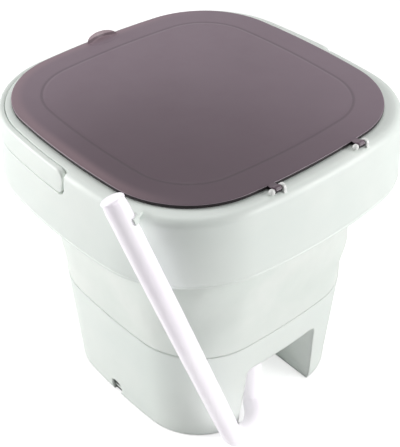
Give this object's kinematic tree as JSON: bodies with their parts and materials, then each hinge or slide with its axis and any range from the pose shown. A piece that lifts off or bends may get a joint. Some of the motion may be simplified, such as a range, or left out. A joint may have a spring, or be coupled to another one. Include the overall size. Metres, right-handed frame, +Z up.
{
  "type": "foldable washing machine",
  "caption": "Portable bucket washing machine whose soft middle folds down, with a hinged lid, a swinging carry handle, a drain hose clipped to the rim and a belt driven pulsator.",
  "frame": {"origin": "centre of the base on the floor, under the axis of the tub", "axes": "+Z up along the tub's axis and the fold; -Y towards the control panel and the lid's finger tab; +Y towards the lid's hinges and the drain arch; +X towards the power inlet and the hose"},
  "size_m": [0.3513, 0.3331, 0.3392],
  "materials": {
    "housing": "satin moulded plastic, pale mint white",
    "bellows": "soft matt rubber, pale mint white",
    "lid": "satin smoky mauve brown",
    "lid_hinge": "satin white",
    "hose": "smooth soft plastic, warm white",
    "pulsator": "polished moulded plastic",
    "tub": "polished moulded plastic",
    "steel": "ground",
    "motor": "zinc plated",
    "dark_rubber": "matt",
    "dark_plastic": "matt",
    "buttons": "satin",
    "board": "solder resist"
  },
  "bodies": {
    "base": {"base_housing": "housing", "bottom_cover": "housing", "cover_screws": "steel", "foot_front_right": "dark_rubber", "foot_front_left": "dark_rubber", "foot_back_right": "dark_rubber", "foot_back_left": "dark_rubber", "power_inlet": "dark_plastic", "tub_floor": "tub", "lower_bearing": "steel", "upper_bearing": "steel", "shaft_seal": "dark_rubber", "drive_belt": "dark_rubber", "motor": "motor", "motor_bracket": "motor", "bracket_screws": "steel", "panel_cover": "dark_plastic", "control_board": "board", "drain_grille": "tub", "drain_spigot": "tub", "drain_hose": "hose", "hose_clamp": "steel", "bellows": "bellows", "lower_clamp_ring": "housing"},
    "pulsator_drive": {"pulsator": "pulsator", "pulsator_cap": "pulsator", "drive_shaft": "steel", "drive_pulley": "dark_plastic"},
    "motor_drive": {"motor_pulley": "dark_plastic", "motor_shaft": "steel"},
    "button_power": {"button_power": "buttons"},
    "button_mode": {"button_mode": "buttons"},
    "button_start": {"button_start": "buttons"},
    "frame": {"upper_frame": "housing", "tub_collar": "tub", "upper_clamp_collar": "housing", "hinge_pin_left": "lid_hinge", "hinge_pin_right": "lid_hinge", "hose_clip": "housing", "hose_stopper": "hose"},
    "lid": {"lid": "lid", "lid_seal": "dark_rubber"},
    "handle": {"carry_handle": "housing"}
  },
  "joints": [
    {"name": "collapse", "type": "slide", "parent": "base", "child": "frame", "axis": [0, 0, -1], "range_m": [0, 0.112], "deforming": ["bellows", "drain_hose"]},
    {"name": "lid_hinge", "type": "hinge", "parent": "frame", "child": "lid", "pos_m": [0, 0.146, 0.3132], "axis": [-1, 0, 0], "range_deg": [0, 105]},
    {"name": "handle_swing", "type": "hinge", "parent": "frame", "child": "handle", "pos_m": [0, -0.002, 0.2985], "axis": [-1, 0, 0], "range_deg": [0, 90]},
    {"name": "pulsator_spin", "type": "hinge", "parent": "base", "child": "pulsator_drive", "pos_m": [0, 0, 0.09], "axis": [0, 0, 1], "continuous": true},
    {"name": "motor_spin", "type": "hinge", "parent": "base", "child": "motor_drive", "pos_m": [-0.0396, -0.0396, 0.055], "axis": [0, 0, 1], "continuous": true},
    {"name": "press_power", "type": "slide", "parent": "base", "child": "button_power", "axis": [0, 1, 0], "range_m": [0, 0.0012], "stiffness_N_per_m": 900, "springref_m": -0.0006},
    {"name": "press_mode", "type": "slide", "parent": "base", "child": "button_mode", "axis": [0, 1, 0], "range_m": [0, 0.0012], "stiffness_N_per_m": 900, "springref_m": -0.0006},
    {"name": "press_start", "type": "slide", "parent": "base", "child": "button_start", "axis": [0, 1, 0], "range_m": [0, 0.0012], "stiffness_N_per_m": 900, "springref_m": -0.0006}
  ],
  "couplings": [
    {"joint": "motor_spin", "follows": "pulsator_spin", "ratio": 3}
  ]
}
